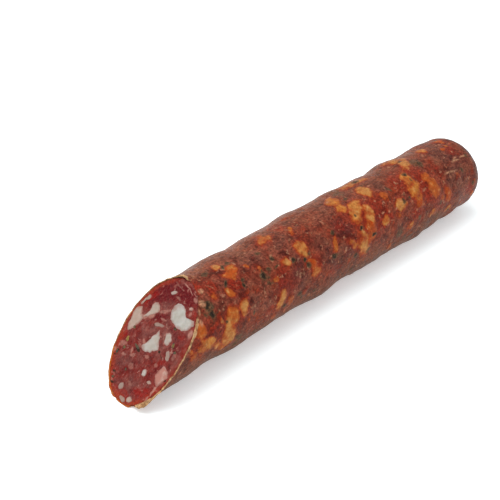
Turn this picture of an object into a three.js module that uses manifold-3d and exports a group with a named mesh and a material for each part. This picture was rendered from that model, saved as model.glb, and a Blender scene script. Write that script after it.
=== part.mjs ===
// Dry-cured sausage, lying down, with its near end cut on the slant.
// A gut casing is filled with lean meat, diced back fat and cracked pepper. The far end is closed by
// gathering the casing into a short tail, and the near end is open where a slice was cut off, so the
// fat and the pepper that the knife met are separate pieces set into the lean meat.
// Millimetres, +Z up. X runs along the sausage from the cut end to the tail, and Z is 0 where it rests.
import * as THREE from 'three';
import { mergeVertices } from 'three/addons/utils/BufferGeometryUtils.js';
import Module from 'manifold-3d';

const wasm = await Module();
wasm.setup();

// Driving dimensions
const RADIUS = 20; // of the casing, before its slow swell and shrink
const END_X = 120; // the blunt closed end, in the body's own X
const OPEN_X = -130; // past the knife, so that the cut trims everything
const CORNER = 10; // round between the side and the closed end
const SKIN = 0.5; // casing wall
const DISH = 1.6; // how far the closed end is drawn in round the tail
const GAP = 0.3; // between touching pieces
const FLAT = 0.8; // how far the underside has settled flat
const CUT_X = -98.2; // where the cut crosses the middle line
const CUT_Y = -0.9; // middle of the cut face, in the body's own Y
const CUT_SLOPE = Math.tan(THREE.MathUtils.degToRad(47.3)); // lean of the cut, top backwards
const CUT_SKEW = Math.tan(THREE.MathUtils.degToRad(7.7)); // turn of the cut, towards +Y
const SIDES = 48; // facets round the sausage
const STEP = 12; // ring spacing along it
const CORNER_STEPS = 4; // rings in the round of the closed end
const TAIL_BEND = 5; // radius on which the tail folds down against the end
const TAIL_LOW = 5; // how far below the middle the casing is gathered
const SWELL = 0.01; // slow swell and shrink, as a share of the radius
const SWELL_TOP = -110; // where it is thickest
const SWELL_LENGTH = 150; // from one thick place to the next
const SWAY = 2.4; // how far the open end leans to -Y
const SWAY_FROM = 20; // where that lean begins
const LUMP_FADE = 30; // length before the closed end over which the lumps die away
// Lumps in the side, as two waves: height, radians per millimetre along, waves round, and start
const LUMPS = [[0.7, 0.19, 2, 0], [0.5, 0.25, -3, 1]];
const GATHER = 5; // radius of the flat inside the closed end
const GRAIN_DEPTH = 0.8; // a pepper grain's depth, as a share of its half width
const GRAIN_SUNK = 0.35; // how far its middle is sunk in the face, in half widths

const MIDDLE_Z = RADIUS - FLAT;

// Slow swell and shrink of the radius along the sausage.
const girth = (x) => 1 + SWELL * Math.cos((2 * Math.PI * (x - SWELL_TOP)) / SWELL_LENGTH);

// The cut end leans sideways a little.
const sway = (x) => -SWAY * (Math.max(0, SWAY_FROM - x) / (SWAY_FROM + END_X)) ** 3;

// Soft lumps in the side, which fade out towards the closed end and underneath.
function lumps(x, turn) {
  const fromEnd = THREE.MathUtils.clamp((END_X - x) / LUMP_FADE, 0, 1);
  const fromFloor = THREE.MathUtils.smoothstep(Math.cos(turn), -0.95, -0.6);
  const wave = ([height, along, around, start]) => height * Math.sin(along * x + around * turn + start);
  return fromEnd * fromFloor * LUMPS.reduce((sum, facts) => sum + wave(facts), 0);
}

// Bends the straight revolved shape into the sausage, and settles its underside no lower than floor.
function settle(geometry, floor) {
  const spots = geometry.getAttribute('position');
  for (let i = 0; i < spots.count; i++) {
    let x = spots.getX(i);
    let y = spots.getY(i);
    let z = spots.getZ(i);
    const turn = Math.atan2(-y, z);
    const share = Math.min(1, Math.hypot(y, z) / (RADIUS - CORNER));
    const scale = 1 + share * (girth(x) - 1 + lumps(x, turn) / RADIUS);
    y *= scale;
    z *= scale;
    const past = x - END_X;
    if (past > 0) {
      const fold = past / TAIL_BEND;
      x = END_X + (TAIL_BEND + z) * Math.sin(fold);
      z = (TAIL_BEND + z) * Math.cos(fold) - TAIL_BEND;
    }
    if (x > END_X - CORNER) z -= TAIL_LOW * (1 - share);
    const middle = RADIUS * girth(Math.min(x, END_X)) - FLAT;
    spots.setXYZ(i, x, y + sway(x), Math.max(floor, z + middle));
  }
  return geometry;
}

// A closed mesh as a manifold solid.
function solidOf(geometry) {
  const bare = geometry.clone();
  bare.deleteAttribute('normal');
  bare.deleteAttribute('uv');
  const merged = mergeVertices(bare, 1e-4);
  return new wasm.Manifold(new wasm.Mesh({
    numProp: 3,
    vertProperties: new Float32Array(merged.getAttribute('position').array),
    triVerts: new Uint32Array(merged.index.array),
  }));
}

// A manifold solid as a geometry.
function geometryOf(solid) {
  const mesh = solid.getMesh();
  const geometry = new THREE.BufferGeometry();
  geometry.setAttribute('position', new THREE.BufferAttribute(mesh.vertProperties, mesh.numProp));
  geometry.setIndex(new THREE.BufferAttribute(mesh.triVerts, 1));
  geometry.computeVertexNormals();
  return geometry;
}

// Half profile of the body set in by so many millimetres, from past the cut to the closed end.
function wall(inset) {
  const points = [[0, OPEN_X], [RADIUS - inset, OPEN_X]];
  for (let x = OPEN_X + STEP; x < END_X - CORNER; x += STEP) points.push([RADIUS - inset, x]);
  const corner = CORNER - inset;
  for (let k = 0; k <= CORNER_STEPS; k++) {
    const a = (k / CORNER_STEPS) * (Math.PI / 2);
    points.push([RADIUS - CORNER + corner * Math.cos(a), END_X - CORNER + corner * Math.sin(a)]);
  }
  return points;
}

// The closed end inside the casing, drawn in a little towards the tail.
function dish(inset) {
  return [[GATHER, END_X - inset - DISH], [0, END_X - inset - DISH]];
}

// The solid inside a half profile, revolved round the X axis and settled so far above Z 0.
function settled(profile, floor) {
  const points = profile.map(([radius, x]) => new THREE.Vector2(radius, x));
  return solidOf(settle(new THREE.LatheGeometry(points, SIDES).rotateZ(-Math.PI / 2), floor));
}

// Everything in front of the cut, a large block whose one face is the plane of the knife.
function knife() {
  const size = 2 * (END_X - OPEN_X);
  const outward = new THREE.Vector3(-1, CUT_SKEW, CUT_SLOPE).normalize();
  const turn = new THREE.Quaternion().setFromUnitVectors(new THREE.Vector3(0, 0, 1), outward);
  const block = new THREE.BoxGeometry(size, size, size).translate(0, 0, size / 2);
  block.applyQuaternion(turn).translate(CUT_X, 0, MIDDLE_Z);
  return solidOf(block);
}

const cut = knife();

// Where the cut plane lies above or below a point of the cross-section.
const cutAt = (y, z) => CUT_X + CUT_SLOPE * (z - MIDDLE_Z) + CUT_SKEW * y;

// A point of the cut face, given as millimetres across it and millimetres up its slope.
function onFace(across, upward) {
  const y = CUT_Y - across;
  const z = MIDDLE_Z + upward / Math.hypot(1, CUT_SLOPE);
  return new THREE.Vector3(cutAt(y, z), y, z);
}

// The casing: a thin skin, drawn in at the closed end and out again into a folded tail.
function casingSolid() {
  const tail = TAIL.map(([radius, past]) => [radius, END_X + past]);
  const hollow = settled([...wall(SKIN), ...dish(SKIN)], SKIN);
  return settled([...wall(0), ...tail], 0).subtract(hollow).subtract(cut);
}

// The lean meat: the whole inside of the casing, with a pocket for each piece of fat and pepper.
function leanSolid() {
  const inset = SKIN + GAP;
  let lean = settled([...wall(inset), ...dish(inset)], inset).subtract(cut);
  for (const [corners, depth] of Object.values(FAT)) lean = lean.subtract(fatPrism(corners, depth, GAP));
  for (const facts of PEPPER) lean = lean.subtract(grain(facts, GAP));
  return lean;
}

// The outline of a piece as the knife met it, smoothed through its corners: points in Y and Z.
function outline(corners) {
  const curve = new THREE.CatmullRomCurve3(corners.map(([across, upward]) => {
    const at = onFace(across, upward);
    return new THREE.Vector3(at.y, at.z, 0);
  }), true);
  const points = curve.getPoints(corners.length * 2).slice(0, -1);
  const path = points.map((p) => new THREE.Vector2(p.x, p.y));
  return THREE.ShapeUtils.isClockWise(path) ? path.reverse() : path;
}

// The same outline moved outwards along its own corners by so much.
function grow(path, by) {
  return path.map((p, i) => {
    const before = path[(i + path.length - 1) % path.length];
    const after = path[(i + 1) % path.length];
    const along = after.clone().sub(before).normalize();
    return new THREE.Vector2(p.x + by * along.y, p.y - by * along.x);
  });
}

// A die of fat: its outline carried along the sausage from the cut inwards, narrower at the far end.
function fatPrism(corners, depth, grown) {
  const path = grow(outline(corners), grown);
  const centre = path.reduce((sum, p) => sum.add(p), new THREE.Vector2()).divideScalar(path.length);
  const deepest = Math.max(...path.map((p) => cutAt(p.x, p.y))) + depth + grown;
  const inwards = NARROWING.map(([left, scale]) => [deepest - depth * left, scale]);
  const rings = [[OPEN_X - STEP, 1], ...inwards];
  const count = path.length;
  const spots = rings.flatMap(([x, scale]) => path.flatMap((p) => {
    const at = p.clone().sub(centre).multiplyScalar(scale).add(centre);
    return [x, at.x, at.y];
  }));
  const faces = [];
  for (let r = 0; r < rings.length - 1; r++) {
    for (let i = 0; i < count; i++) {
      const a = r * count + i;
      const b = r * count + ((i + 1) % count);
      faces.push(a, b, b + count, a, b + count, a + count);
    }
  }
  const last = (rings.length - 1) * count;
  for (const [a, b, c] of THREE.ShapeUtils.triangulateShape(path, [])) {
    faces.push(a, c, b, last + a, last + b, last + c);
  }
  const geometry = new THREE.BufferGeometry();
  geometry.setAttribute('position', new THREE.Float32BufferAttribute(spots, 3));
  geometry.setIndex(faces);
  return solidOf(geometry);
}

// A cracked grain of pepper, sunk most of the way into the cut face.
function grain([across, upward, long, short, turn], grown) {
  const at = onFace(across, upward);
  const rock = new THREE.IcosahedronGeometry(1, 1);
  rock.scale(short * GRAIN_DEPTH + grown, long + grown, short + grown).rotateX(turn);
  return solidOf(rock.translate(at.x + GRAIN_SUNK * short, at.y, at.z));
}

// Half profile of the closed end's middle and of the tail: radius, and how far past the closed end.
const TAIL = [[6, -0.4], [3.4, -0.8], [2.2, 0], [2.3, 1.6], [3.1, 3.6], [3.3, 5.6], [2.2, 7], [0, 7.4]];

// How a die of fat narrows inwards: share of its depth left to go, and share of its size there.
const NARROWING = [[0.35, 1], [0.1, 0.86], [0, 0.6]];

// Outlines of the fat on the cut face: millimetres across and up the slope, and the depth inwards.
const FAT = {
  fat_large_upper: [[[0.3, 16.6], [2.2, 19.6], [5.2, 19.8], [8.2, 17.4], [10.4, 16.4], [14.2, 17.2],
    [15.6, 15.6], [15, 12.8], [12, 10.8], [7.4, 10.4], [2.8, 11.8], [0.2, 14]], 8],
  fat_left_long: [[[-18, 5], [-16.8, 7.8], [-14.3, 8], [-13.9, 5.4], [-11.9, 4.2], [-11.6, 1.4],
    [-13.6, -1.8], [-15.4, -3.7], [-17, -1.4], [-17.4, 2]], 6],
  fat_left_band: [[[-11.4, 5.6], [-10.4, 8.6], [-10.4, 11.8], [-8.6, 13.9], [-5.8, 12.9], [-4.8, 10.6],
    [-7.4, 8], [-10, 5.2]], 5],
  fat_middle: [[[0.6, 5.1], [3.2, 2.4], [6, -1], [5.4, -3.2], [1.8, -5.4], [-1.2, -5.8],
    [-3.6, -4.2], [-2.6, -0.8], [-1.2, 3.2]], 7],
  fat_middle_right: [[[5.2, 6.6], [8, 6.8], [9.7, 5], [9.3, 2.8], [7.6, 1.7], [5.6, 3.4]], 5],
  fat_flake: [[[-4.2, 6.5], [-1.4, 7.3], [1.7, 7.9], [1.2, 6.5], [-1.4, 5.6], [-3.6, 5.7]], 3],
  fat_right_small: [[[10.4, 0.5], [12.2, 0.7], [13.8, -1.4], [12.8, -2.7], [11.2, -1.6]], 3],
  fat_lower_dot: [[[4.4, -12.2], [5.6, -10.7], [7.1, -11.8], [6.9, -13.6], [5.3, -14.1]], 3],
  fat_pink_right: [[[12.7, -7], [14, -4.6], [16.6, -4.8], [17.9, -7], [17.2, -9.8], [15.8, -12.6],
    [14, -13], [12.6, -10.4]], 6],
  fat_lilac_dot: [[[9.7, -14.4], [11, -13.3], [12, -14], [10.9, -15.1]], 2],
  fat_low_left: [[[-2.8, -22.2], [-1.2, -21.3], [-0.2, -22.8], [-1.4, -24.6], [-2.9, -23.8]], 4],
  fat_low_right: [[[4.6, -24.9], [6.2, -23.6], [7.8, -24.4], [6.9, -26.1], [5.2, -26]], 3],
  fat_tip: [[[0.8, -26.2], [2.6, -25.6], [4, -26.3], [2.8, -27.2]], 3],
  fat_top_flake: [[[-5.6, 20.6], [-3.8, 22], [-1.6, 22.4], [-2.2, 21.2], [-4.4, 20.2]], 3],
  fat_rim_left: [[[-16, 11.8], [-15, 14.3], [-13.8, 14], [-14.4, 12], [-15.4, 10.6]], 3],
  fat_top_right: [[[8.4, 20.6], [9.4, 22.2], [11.2, 21.6], [11, 20], [9.4, 19.6]], 3],
};

// Pepper on the cut face: across, up the slope, half length, half width, turn in the face.
const PEPPER = [
  [-12.6, -5.7, 1.4, 1.1, 0.4],
  [-10.4, -0.9, 1, 0.7, 1.2],
  [-5.6, -6.9, 1.8, 0.8, 1.4],
  [11.9, 4.1, 1.2, 0.8, 0.2],
  [14.6, 2, 1, 0.8, 2],
  [-12, -10, 1.3, 0.9, 1],
  [-14.5, -13.6, 1.2, 0.7, 0.3],
  [-3.6, -16.6, 0.9, 0.7, 0.8],
  [-8.4, -22.6, 1.1, 0.7, 1.9],
  [8, 9, 1, 0.6, 1.7],
];

// Materials
function material(color, roughness) {
  return new THREE.MeshStandardMaterial({ color, roughness, metalness: 0 });
}
const casingMaterial = material(0x8c4632, 0.5);
const leanMaterial = material(0x84343a, 0.42);
const fatMaterial = material(0xd2c4ba, 0.4);
const pepperMaterial = material(0x2c2a1c, 0.7);

const body = new THREE.Group();

// Each solid becomes one named mesh.
function place(name, solid, finish) {
  const mesh = new THREE.Mesh(geometryOf(solid), finish);
  mesh.name = name;
  body.add(mesh);
}

place('casing', casingSolid(), casingMaterial);
place('lean_filling', leanSolid(), leanMaterial);
for (const [name, [corners, depth]] of Object.entries(FAT)) {
  place(name, fatPrism(corners, depth, 0).subtract(cut), fatMaterial);
}
PEPPER.forEach((facts, i) => place(`pepper_grain_${i + 1}`, grain(facts, 0), pepperMaterial));

// The origin is under the middle of the whole sausage.
const middle = new THREE.Box3().setFromObject(body).getCenter(new THREE.Vector3());
body.position.set(-middle.x, -middle.y, 0);

const sausage = new THREE.Group();
sausage.add(body);
export default sausage;
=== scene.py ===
"""A dry-cured sausage, lying down, with its near end cut on the slant and its far end gathered shut.

Lengths are in millimetres until a mesh is made. x runs along the sausage, from -120 at the tip of the cut
to 120 at the closed end, and s runs round it: 0 along the top, positive towards -Y.
"""

import math

import bpy
import numpy as np
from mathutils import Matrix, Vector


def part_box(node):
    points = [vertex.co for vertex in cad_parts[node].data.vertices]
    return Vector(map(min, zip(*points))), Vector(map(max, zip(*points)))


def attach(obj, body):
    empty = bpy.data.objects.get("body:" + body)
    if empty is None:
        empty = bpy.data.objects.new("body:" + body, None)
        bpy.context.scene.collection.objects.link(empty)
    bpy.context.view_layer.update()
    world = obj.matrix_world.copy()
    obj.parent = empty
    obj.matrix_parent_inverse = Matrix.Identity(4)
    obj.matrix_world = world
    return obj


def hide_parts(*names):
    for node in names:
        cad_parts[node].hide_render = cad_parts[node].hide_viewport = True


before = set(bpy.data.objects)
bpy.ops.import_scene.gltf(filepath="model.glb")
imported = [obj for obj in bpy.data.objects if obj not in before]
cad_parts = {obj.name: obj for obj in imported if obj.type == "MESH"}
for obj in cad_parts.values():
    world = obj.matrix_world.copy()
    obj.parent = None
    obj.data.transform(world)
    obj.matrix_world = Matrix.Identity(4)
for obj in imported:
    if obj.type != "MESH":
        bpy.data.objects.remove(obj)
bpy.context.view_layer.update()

# -------------------------------------------------------------------------------------------------
# Casing
# A length of dried gut, half a millimetre thick, shrunk onto the filling so that the dice of fat, the
# herbs and the cracked pepper under it show as colour and low lumps. It is gathered into pleats and a
# short dry tail at the far end, and the knife has gone through it on the slant at the near end.
# -------------------------------------------------------------------------------------------------
MM = 0.001
RADIUS = 20.0
WALL = 0.55
FLAT = 0.8  # how far the underside has settled flat
END = 120.0
CORNER = 10.0  # round between the side and the closed end
TAIL = 7.4  # the tail's length
TAIL_BEND = 5.0  # radius on which it folds down
TAIL_LOW = 5.0  # how far below the middle it is gathered
CUT_X = -98.2  # where the knife crossed the middle line
CUT_SLOPE = math.tan(math.radians(47.3))
CUT_SKEW = math.tan(math.radians(7.7))
MIDDLE_Z = RADIUS - FLAT
LEAN = 2.4  # how far the cut end leans to -Y
LEAN_FROM = 20.0
TOP = 39.8  # height at which the swells of the top begin to ease over
TOP_EASE = 0.4
FLOOR_EASE = 0.35  # how softly the side turns into the flat underside
GATHER = 2.4  # radius of the gathered gut
DISH = 0.9  # how far the closed end is drawn in round it
PLEATS = 17
FRAY_STOP = -119.7  # the fray of the cut reaches no further
DEEPER = 1.5  # hidden walls lie this much deeper past the cut, clear of the hollows of the side
MEAT_GAP = 0.3  # between the casing and the hidden sides of the meat

AROUND = 250  # columns of the casing
BODY_ROWS = 322
CORNER_ROWS = 16
END_ROWS = 20
TAIL_ROWS = 16

box_low, box_high = (np.array(corner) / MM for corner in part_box("casing"))
ALONG = box_high[0] - END - TAIL  # from x to the frame's X
ASIDE = 0.67  # from the straight middle line to the frame's Y, because the cut end leans to -Y


def to_frame(x, y, z):
    """Points in metres in the frame, from x along the sausage, y across it and z up, in millimetres."""
    return np.stack(np.broadcast_arrays(x + ALONG, y + ASIDE, z), axis=-1) * MM


def soft_noise(points, cell, seed):
    """Smooth noise from -1 to 1: a hashed number at each corner of a cubic lattice with that cell, blended
    between the eight corners round a point by 3t^2 - 2t^3 in each direction."""
    place = points / cell
    corner = np.floor(place).astype(np.int64)
    part = place - corner
    part = part * part * (3 - 2 * part)
    total = np.zeros(points.shape[:-1])
    for step in np.ndindex(2, 2, 2):
        near = corner + np.array(step)
        mixed = near[..., 0] * 73856093 ^ near[..., 1] * 19349663 ^ near[..., 2] * 83492791 ^ seed * 50331653
        mixed = (mixed ^ (mixed >> 13)) * 1274126177 & 0x7FFFFFFF
        mixed = (mixed ^ (mixed >> 15)) * 69069 & 0x7FFFFFFF
        value = (mixed >> 8 & 0xFFFF) / 32767.5 - 1
        total += value * np.prod(np.where(step, part, 1 - part), axis=-1)
    return total


def ease(low, high, value):
    """0 below low, 1 above high, and 3t^2 - 2t^3 between them."""
    t = np.clip((value - low) / (high - low), 0, 1)
    return t * t * (3 - 2 * t)


def middle_line(x):
    """Sideways place of the middle line: straight, with a cubic lean to -Y towards the cut."""
    return -LEAN * (np.clip(LEAN_FROM - x, 0, None) / (LEAN_FROM + END)) ** 3


# Swells and hollows of the side: x, s, half length, half width, height.
SWELLS = (
    (-4, -14, 9, 12, 1.0), (70, -12, 8, 12, 1.1), (99, -14, 8, 10, 0.8), (57, -14, 5, 12, -0.8),
    (-70, -14, 8, 12, -0.7), (-43, -14, 7, 12, -0.7), (25, -14, 7, 10, 0.4), (66, 46, 6, 12, 0.9),
    (30, 46, 12, 12, 0.2), (-66, 46, 10, 12, 0.8), (88, 46, 5, 12, -0.7), (-42, 46, 14, 12, 0.4),
    (10, 46, 9, 12, -0.5), (-9, 46, 9, 12, 1.4), (-81, 46, 6, 12, -0.8), (78, 46, 4.5, 12, 0.4),
    (105, 44, 7, 14, -1.1), (75, 18, 6, 9, 0.5), (52, 10, 5, 12, -0.5), (-30, -3, 6, 7, 0.4),
)


def side_radius(x, turn):
    """Distance of the side from the middle line: 20 mm, a 1% cosine swell every 150 mm, the sum of the
    swells as bell curves of x and s, and two sizes of soft noise that fade out at the closed end."""
    s = RADIUS * np.angle(np.exp(1j * turn))
    radius = RADIUS * (1 + 0.01 * np.cos(2 * np.pi * (x + 110) / 150))
    for at_x, at_s, length, width, height in SWELLS:
        radius = radius + height * np.exp(-(((x - at_x) / length) ** 2) - ((s - at_s) / width) ** 2)
    spots = np.stack(np.broadcast_arrays(x, RADIUS * np.sin(turn), RADIUS * np.cos(turn)), axis=-1)
    uneven = 0.34 * soft_noise(spots, 19, 3) + 0.22 * soft_noise(spots, 8, 4)
    return radius + uneven * (1 - ease(100, 122, x))


def settled(z):
    """Heights with the underside pressed flat: 0 is the lowest, and the logarithm of 1 + e^z, in units of
    FLOOR_EASE, leads into it."""
    return np.where(z > 6, z, FLOOR_EASE * np.logaddexp(0, z / FLOOR_EASE))


def side_point(x, turn, radius):
    """A point of the side in x, y, z, settled, with the top eased over by a hyperbolic tangent."""
    y = middle_line(x) - radius * np.sin(turn)
    z = MIDDLE_Z + radius * np.cos(turn)
    z = np.where(z > TOP, TOP + TOP_EASE * np.tanh((z - TOP) / TOP_EASE), z)
    return x + 0 * turn, y, settled(z)


def cut_x(turn, inset):
    """Where the knife's plane leaves the side at each turn: the plane's x for that y and z, found again
    from the side's shape there until it settles."""
    x = np.full_like(turn, CUT_X)
    for _ in range(12):
        _, y, z = side_point(x, turn, side_radius(x, turn) - inset)
        x = CUT_X + CUT_SLOPE * (z - MIDDLE_Z) + CUT_SKEW * y
    return x


def blot(spots, u, v, power, core=0.7, reach=1.2):
    """Mask and tone of several patches on u and v. A patch's distance is its rounded box norm of that
    power, in half sizes, after the tilt. The mask is the strongest patch's strength, eased from 0 to 1
    where the distance falls from reach to core, and the tone is that patch's own, or 0.5."""
    mask = np.zeros_like(u)
    tone = np.full_like(u, 0.5)
    for at_u, at_v, length, width, tilt, strength, *own in spots:
        near = (np.abs(u - at_u) < 24) & (np.abs(v - at_v) < 24)
        du, dv = u[near] - at_u, v[near] - at_v
        cos, sin = math.cos(math.radians(tilt)), math.sin(math.radians(tilt))
        across = np.abs(du * cos + dv * sin) / (length / 2)
        upward = np.abs(dv * cos - du * sin) / (width / 2)
        distance = (across**power + upward**power) ** (1 / power)
        level = strength * (1 - ease(core, reach, distance))
        stronger = level > mask[near]
        mask[near] = np.where(stronger, level, mask[near])
        tone[near] = np.where(stronger, own[0] if own else 0.5, tone[near])
    return mask, tone


# What shows through the casing: x, s, length, width, tilt in degrees, strength, tone. Only the larger
# and the most telling spots are placed here, in whole millimetres. The small ones are scattered below.
# The tone of fat runs from 0, pale cream, through 0.5, amber, to 1, red-orange.
FAT_UNDER = [
    (-72, 30, 6, 12, 20, 1, 0.45), (-68, 24, 5, 6, 0, 0.9, 0.8), (-62, 23, 4, 6, 15, 1, 0.35),
    (-75, 24, 2, 5, -15, 0.8, 0.3), (-88, 23, 5, 6, -30, 1, 0.85), (-86, 30, 10, 5, 15, 1, 0.55),
    (-78, 35, 8, 3, 40, 0.8, 0.75), (-94, 31, 3, 5, -10, 0.8, 0.7), (-62, 1, 4, 4, -20, 1, 0.4),
    (-57, 5, 3, 3, 0, 0.8, 0.45), (-59, 8, 7, 5, -10, 0.9, 0.9), (-65, 15, 5, 3, 40, 0.6, 0.8),
    (-73, 13, 4, 3, 5, 0.6, 0.5), (-31, 0, 6, 6, -20, 1, 0.4), (-19, 14, 5, 7, 0, 1, 0.45),
    (-31, 15, 3, 4, -20, 0.9, 0.3), (-17, 22, 5, 4, 25, 0.6, 1), (-15, 27, 5, 4, 0, 0.8, 0.45),
    (-40, 20, 5, 3, 15, 0.5, 0.7), (-39, 31, 4, 8, 30, 1, 0.45), (-33, 34, 4, 5, 30, 0.9, 0.85),
    (37, -6, 19, 5, 5, 1, 0.55), (36, 4, 5, 8, -15, 1, 0.4), (16, 3, 6, 10, 15, 0.9, 0.6),
    (22, 11, 6, 13, 40, 1, 0.5), (27, 15, 6, 9, 10, 1, 0.4), (25, 21, 5, 6, -35, 0.9, 1),
    (24, 25, 5, 6, 25, 0.8, 1), (18, 26, 7, 10, 15, 1, 0.4), (10, 24, 3, 7, -45, 0.8, 0.6),
    (0, 20, 2, 7, 25, 0.6, 0.75), (43, 11, 5, 4, 35, 0.7, 0.85), (36, 22, 4, 4, 15, 0.6, 0.5),
    (63, 13, 7, 14, 5, 1, 0.6), (50, 19, 6, 5, 35, 1, 0.4), (76, 18, 6, 14, -15, 1, 0.85),
    (63, 23, 5, 4, -10, 0.8, 0.95), (86, 26, 4, 7, 5, 0.9, 1), (87, 36, 6, 4, -10, 0.9, 0.7),
    (72, 32, 5, 3, -35, 0.7, 0.65), (54, 32, 4, 4, -20, 0.7, 0.6), (71, -5, 12, 5, 20, 1, 0.45),
    (72, 0, 11, 5, -45, 1, 0.4), (91, -2, 5, 4, 45, 1, 0.45), (106, -3, 3, 6, -35, 0.9, 0.95),
]
# Paprika oil and blood-red lean just under the skin.
STAINS = [
    (-60, 13, 8, 5, 10, 1), (-76, 5, 6, 6, -15, 0.9), (-81, 24, 7, 6, -20, 0.8), (-16, 22, 9, 8, -35, 0.9),
    (25, 24, 8, 8, 0, 1), (37, 22, 9, 8, 10, 0.9), (60, 27, 13, 10, 10, 0.9), (77, 28, 15, 8, 30, 0.8),
    (-58, 36, 7, 14, -40, 0.6), (-34, 24, 12, 18, 10, 0.5), (57, 6, 8, 14, 40, 0.7),
    (104, 30, 11, 7, 10, 0.6), (26, 16, 28, 24, 20, 0.75), (70, 14, 28, 28, 0, 0.75),
    (-80, 30, 12, 12, 0, 0.4),
]
# Dark herbs and cracked pepper.
HERBS = [
    (-69, 2, 2, 4, 25, 0.6), (-79, 15, 3, 2, -35, 0.9), (-79, 19, 2, 2, 25, 0.9), (-79, 17, 5, 6, 0, 0.4),
    (-65, 11, 2, 1, -40, 0.9), (-59, 3, 1, 2, 20, 0.8), (-57, 15, 1, 2, 25, 0.8), (-57, 28, 1, 2, 25, 0.8),
    (-45, 16, 2, 3, 0, 0.9), (-44, 17, 4, 6, 0, 0.4), (-37, 15, 2, 1, -10, 0.8), (-67, 37, 4, 5, 0, 0.4),
    (-2, 25, 2, 2, 15, 0.8), (12, 31, 2, 2, 25, 0.7), (19, 19, 2, 1, -30, 0.8), (26, 25, 2, 1, -15, 1),
    (38, 0, 1, 1, 30, 0.9), (57, 18, 1, 1, -15, 1), (61, 30, 2, 2, 35, 0.7), (78, 4, 4, 5, 0, 0.6),
    (25, -5, 4, 8, 30, 0.4), (45, 32, 3, 4, 40, 0.4),
]
# Sinew and fat smears, and creases that have dried pale.
PALE = [
    (-26, 25, 1, 1, -30, 0.8), (36, 18, 2, 1, 0, 0.8), (40, 19, 2, 1, -30, 0.8), (46, 19, 2, 1, -35, 0.7),
    (-28, 15, 2, 1, -45, 0.6), (101, 13, 7, 1, 10, 1), (108, 13, 5, 1, 5, 1), (101, 12, 6, 1, -20, 1),
    (93, 17, 10, 1, 10, 0.9), (69, 18, 3, 1, 0, 0.6), (-77, 8, 2, 2, 30, 0.9), (-81, 13, 3, 3, 10, 1),
    (-84, 16, 1, 3, 20, 0.9), (-86, 20, 2, 3, 0, 0.8), (-72, 9, 5, 0.5, 55, 0.6),
]
# Darker, purple lean.
DUSK = [
    (-26, 21, 8, 10, 0, 1), (8, 16, 10, 9, 15, 0.9), (-35, 24, 9, 15, -40, 0.7), (-85, 37, 10, 3, 30, 0.7),
    (95, 4, 12, 11, 20, 0.5), (7, 27, 5, 7, -30, 0.9), (-9, 16, 8, 9, -35, 0.5), (65, 22, 8, 5, 40, 0.6),
    (107, 27, 8, 7, -30, 0.6), (104, 10, 16, 24, 0, 0.5), (-1, 29, 14, 8, 45, 0.5),
]
# Where the gut has dried dull, mauve brown and finely speckled.
MATTE = [
    (-71, -1, 8, 7, 10, 0.6), (-44, 5, 16, 12, 10, 0.9), (-58, 14, 9, 6, 20, 0.9),
    (-56, 24, 9, 7, -10, 0.8), (-27, 6, 9, 11, 15, 1), (-12, -3, 28, 5, 10, 0.9), (8, 16, 11, 7, 5, 1),
    (46, 6, 9, 9, 0, 1), (0, 29, 11, 16, -45, 0.8), (97, 3, 16, 15, 10, 1), (96, 19, 16, 14, -20, 1),
    (100, 29, 12, 9, 25, 0.8), (77, 2, 8, 8, 0, 0.9), (-26, 23, 9, 11, 10, 0.7), (9, 1, 8, 10, 0, 0.8),
    (-48, 29, 9, 8, -35, 0.6),
]

scatter = np.random.default_rng(11)
SCATTER_X, SCATTER_LONG = -80, 196  # where along the side spots are scattered
AWAY = (56, 56)  # start and span of s on the side that faces away
NEAR = (-14, 70)  # the same on the other side


def scattered(side_of, chance, pitch, sizes, tones, strengths):
    """More spots of one kind on that side: one at a random place in each cell of a grid over x and s, kept
    by chance."""
    from_s, span = side_of
    columns, rows = int(SCATTER_LONG / pitch), int(span / pitch)
    cells = np.array(list(np.ndindex(columns, rows)))
    kept = scatter.random(len(cells)) < chance
    place = (cells + scatter.random((len(cells), 2))) * pitch
    size = scatter.uniform(*sizes, (len(cells), 2))
    tilt = scatter.uniform(-40, 40, len(cells))
    tone = scatter.uniform(*tones, len(cells))
    strength = scatter.uniform(*strengths, len(cells))
    x = place[:, 0] + SCATTER_X
    half_way = RADIUS * np.pi
    s = (place[:, 1] + from_s + half_way) % (2 * half_way) - half_way
    values = (x, s, size[:, 0], size[:, 1], tilt, strength, tone)
    return list(zip(*(value[kept].tolist() for value in values)))


FAT_UNDER += scattered(AWAY, 0.42, 9, (3.5, 9), (0.4, 1), (0.6, 1))
STAINS += scattered(AWAY, 0.3, 12, (7, 15), (0, 0), (0.4, 0.9))
HERBS += scattered(AWAY, 0.3, 6.5, (1.2, 3.2), (0, 0), (0.5, 1))
PALE += scattered(AWAY, 0.25, 6, (1.2, 2.4), (0, 0), (0.4, 0.8))
DUSK += scattered(AWAY, 0.25, 14, (8, 14), (0, 0), (0.4, 0.9))
MATTE += scattered(AWAY, 0.35, 16, (12, 20), (0, 0), (0.6, 1))
FAT_UNDER += scattered(NEAR, 0.22, 8, (1.6, 3.6), (0.3, 0.95), (0.4, 0.8))
STAINS += scattered(NEAR, 0.2, 14, (4, 8), (0, 0), (0.4, 0.9))
HERBS += scattered(NEAR, 0.2, 7, (1, 2.2), (0, 0), (0.4, 0.9))
PALE += scattered(NEAR, 0.2, 9, (0.8, 1.8), (0, 0), (0.4, 0.7))


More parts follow.
